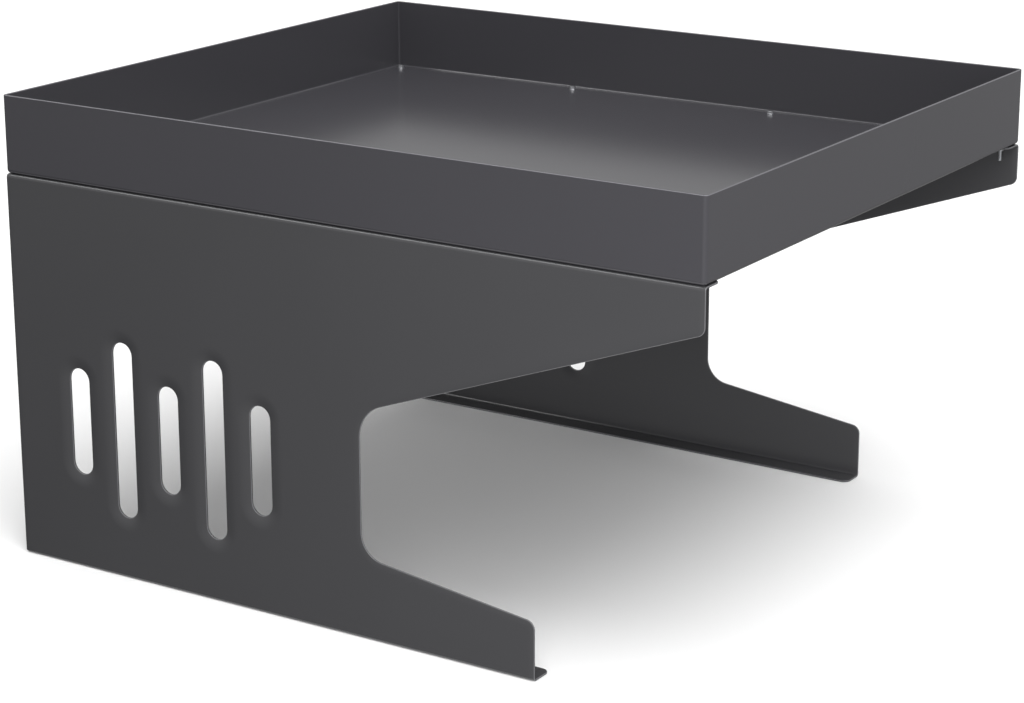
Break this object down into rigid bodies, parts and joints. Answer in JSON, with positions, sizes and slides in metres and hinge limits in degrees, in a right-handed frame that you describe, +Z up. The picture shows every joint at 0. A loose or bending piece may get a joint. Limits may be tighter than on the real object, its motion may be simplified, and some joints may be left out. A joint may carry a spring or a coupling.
{
  "type": "robot mower garage",
  "caption": "Open garage for a robot mower: a shallow planting tray as its roof on two folded side panels with slanting open fronts and upright slots.",
  "frame": {"origin": "on the ground, midway between the sides and midway from front to rear", "axes": "+Z up, +Y towards the rear, the open front faces -Y, -X is the left side"},
  "size_m": [0.85, 1, 0.605],
  "materials": {
    "side_coat": "satin powder coat, anthracite",
    "tray_coat": "satin powder coat, anthracite",
    "zinc": "bright zinc plating"
  },
  "bodies": {
    "root": {"left_side_panel": "side_coat", "right_side_panel": "side_coat", "roof_tray": "tray_coat", "left_bolt_1": "zinc", "left_head_washer_1": "zinc", "left_nut_washer_1": "zinc", "left_nut_1": "zinc", "left_bolt_2": "zinc", "left_head_washer_2": "zinc", "left_nut_washer_2": "zinc", "left_nut_2": "zinc", "left_bolt_3": "zinc", "left_head_washer_3": "zinc", "left_nut_washer_3": "zinc", "left_nut_3": "zinc", "left_bolt_4": "zinc", "left_head_washer_4": "zinc", "left_nut_washer_4": "zinc", "left_nut_4": "zinc", "right_bolt_1": "zinc", "right_head_washer_1": "zinc", "right_nut_washer_1": "zinc", "right_nut_1": "zinc", "right_bolt_2": "zinc", "right_head_washer_2": "zinc", "right_nut_washer_2": "zinc", "right_nut_2": "zinc", "right_bolt_3": "zinc", "right_head_washer_3": "zinc", "right_nut_washer_3": "zinc", "right_nut_3": "zinc", "right_bolt_4": "zinc", "right_head_washer_4": "zinc", "right_nut_washer_4": "zinc", "right_nut_4": "zinc"}
  },
  "joints": []
}
